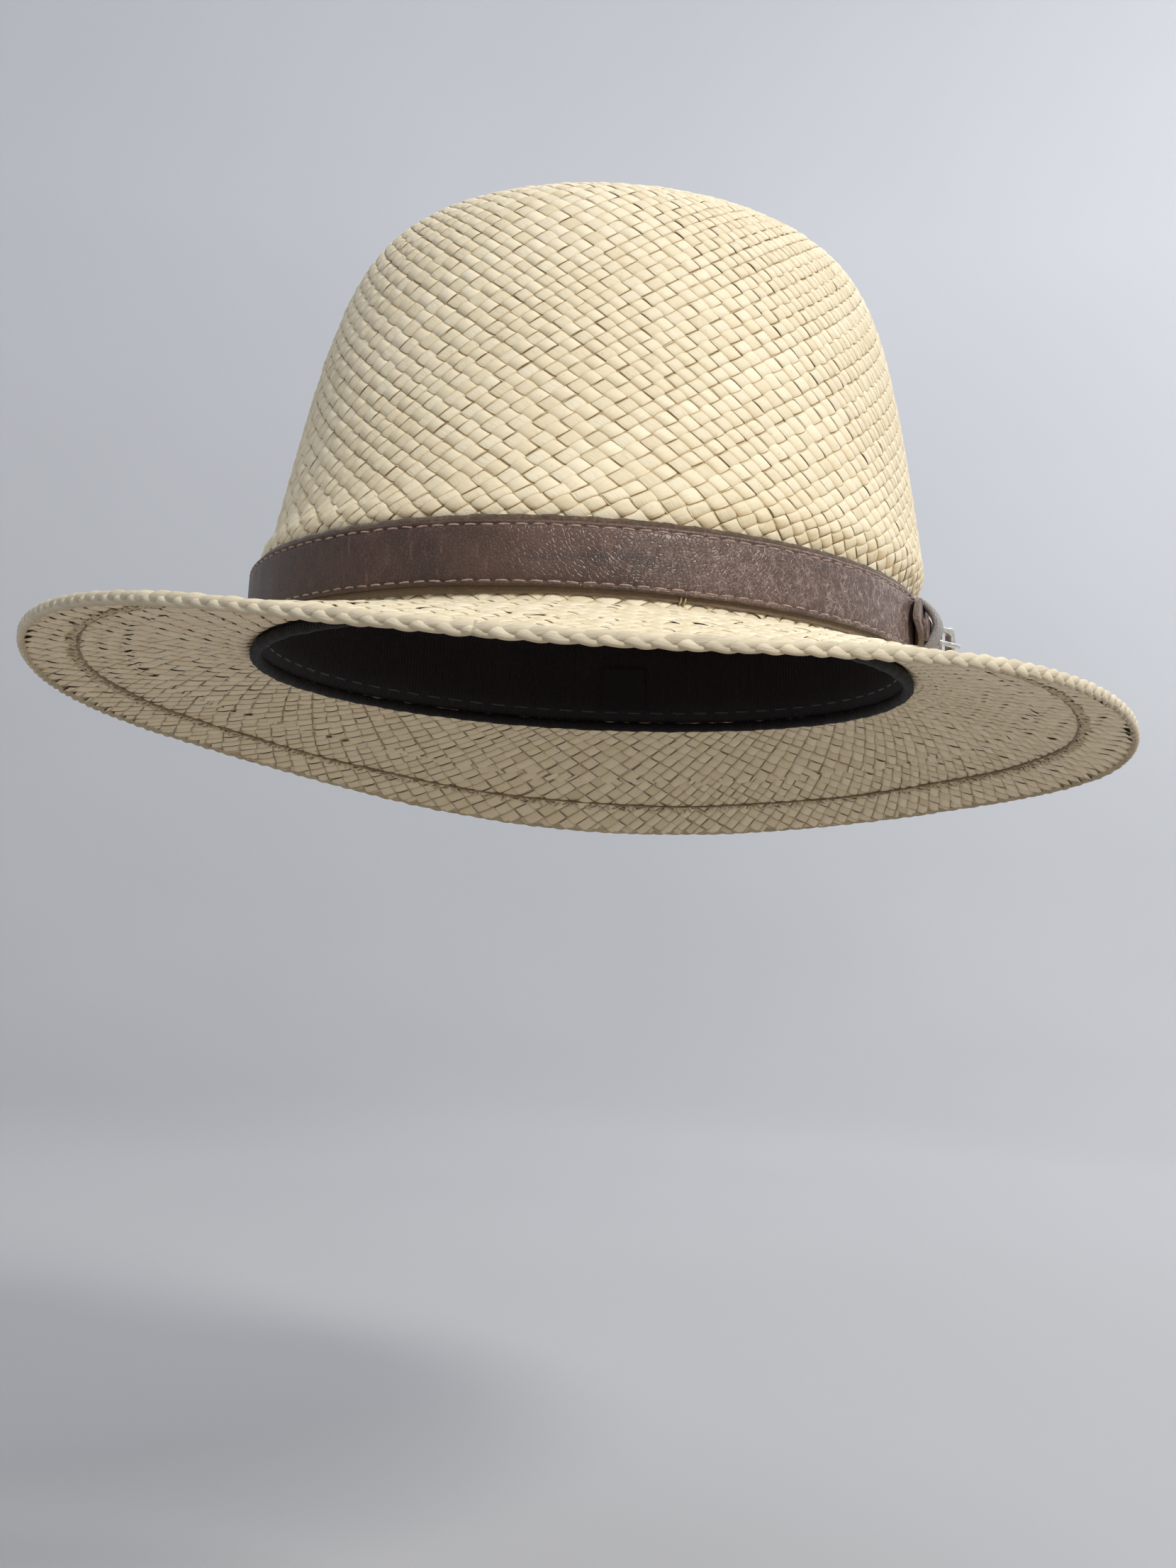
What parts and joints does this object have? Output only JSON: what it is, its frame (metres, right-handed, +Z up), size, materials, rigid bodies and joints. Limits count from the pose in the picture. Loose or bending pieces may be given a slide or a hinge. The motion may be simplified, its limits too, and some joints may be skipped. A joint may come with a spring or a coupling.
{
  "type": "panama hat",
  "caption": "Woven straw hat with a smooth round crown, a turned-down brim with a braided edge, a stitched leather band with a small buckle, and a black sweatband.",
  "frame": {"origin": "centre of the head opening at the level where crown and brim meet", "axes": "+Z up through the crown, -Y is the front of the hat, +X is the wearer's left side, with the buckle"},
  "size_m": [0.2892, 0.329, 0.1514],
  "materials": {
    "straw": "woven flat straw, satin",
    "straw_cord": "braided straw, satin",
    "sweat_fabric": "matt black woven tape",
    "reed_tape": "matt black grosgrain",
    "reed_plastic": "clear-white plastic core",
    "dark_thread": "black sewing thread",
    "backing_leather": "raw-edged suede backing",
    "band_leather": "pebbled brown leather, semi-gloss",
    "keeper_leather": "smooth grey-brown leather",
    "band_thread": "pinkish brown thread",
    "tack_thread": "straw coloured thread",
    "buckle_metal": "worn nickel plate"
  },
  "bodies": {
    "hat": {"straw_body": "straw", "rim_braid": "straw_cord", "sweatband": "sweat_fabric", "sweatband_join": "sweat_fabric", "reed_tape": "reed_tape", "reed_core": "reed_plastic", "sweatband_stitches": "dark_thread", "band_lining": "backing_leather", "band_strap": "band_leather", "band_top_stitches": "band_thread", "band_bottom_stitches": "band_thread", "band_tacks": "tack_thread", "buckle_chape": "backing_leather", "chape_stitches": "band_thread", "keeper_loop": "keeper_leather"},
    "buckle": {"buckle_frame": "buckle_metal", "buckle_bar": "buckle_metal"},
    "prong": {"buckle_prong": "buckle_metal"}
  },
  "joints": [
    {"name": "buckle_tilt", "type": "hinge", "parent": "hat", "child": "buckle", "pos_m": [0.0907, -0.008, 0.0096], "axis": [0, 0, -1], "range_deg": [0, 15]},
    {"name": "prong_swing", "type": "hinge", "parent": "buckle", "child": "prong", "pos_m": [0.0907, -0.008, 0.0096], "axis": [0, 0, -1], "range_deg": [0, 50]}
  ]
}
